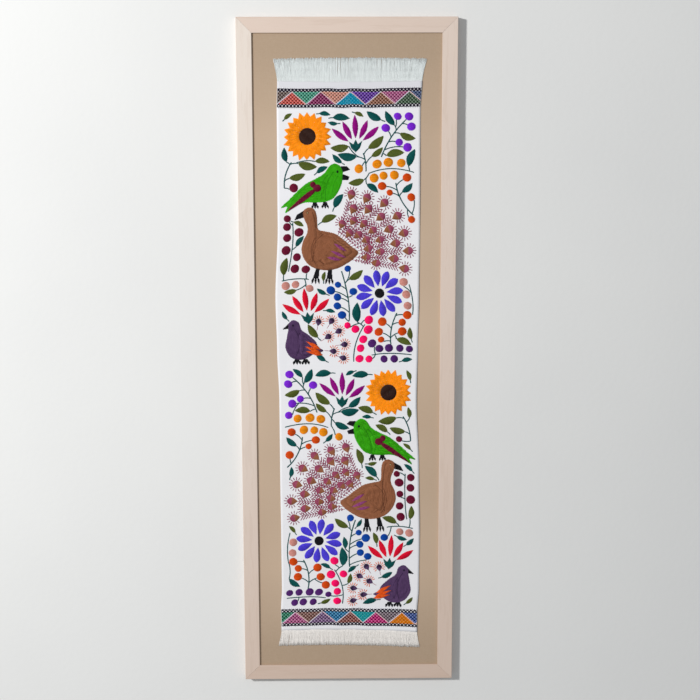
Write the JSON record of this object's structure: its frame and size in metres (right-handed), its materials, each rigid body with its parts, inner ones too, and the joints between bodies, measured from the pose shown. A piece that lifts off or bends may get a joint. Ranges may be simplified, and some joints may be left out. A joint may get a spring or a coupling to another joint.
{
  "type": "embroidered wall hanging in a wooden frame",
  "caption": "Long fringed cotton cloth with satin-stitched birds, flowers and leaves, mounted flat on a tan board in a plain pale wooden frame that leans or hangs on a wall.",
  "frame": {"origin": "middle of the frame's flat back, which the part lies on", "axes": "+X across the frame to the viewer's right, +Y along it towards the hanging's top, +Z out of the face"},
  "size_m": [0.64, 2, 0.03],
  "materials": {
    "cotton_cloth": "matt handwoven white cotton",
    "cotton_fringe": "matt combed white cotton yarn",
    "embroidery_thread": "soft-sheen cotton embroidery thread in many colours",
    "board_covering": "matt tan covering on a board",
    "frame_wood": "smooth pale limed wood"
  },
  "bodies": {
    "root": {"cloth": "cotton_cloth", "fringe_top": "cotton_fringe", "fringe_bottom": "cotton_fringe", "mounting_board": "board_covering", "rail_bottom": "frame_wood", "rail_top": "frame_wood", "rail_left": "frame_wood", "rail_right": "frame_wood"}
  },
  "joints": []
}
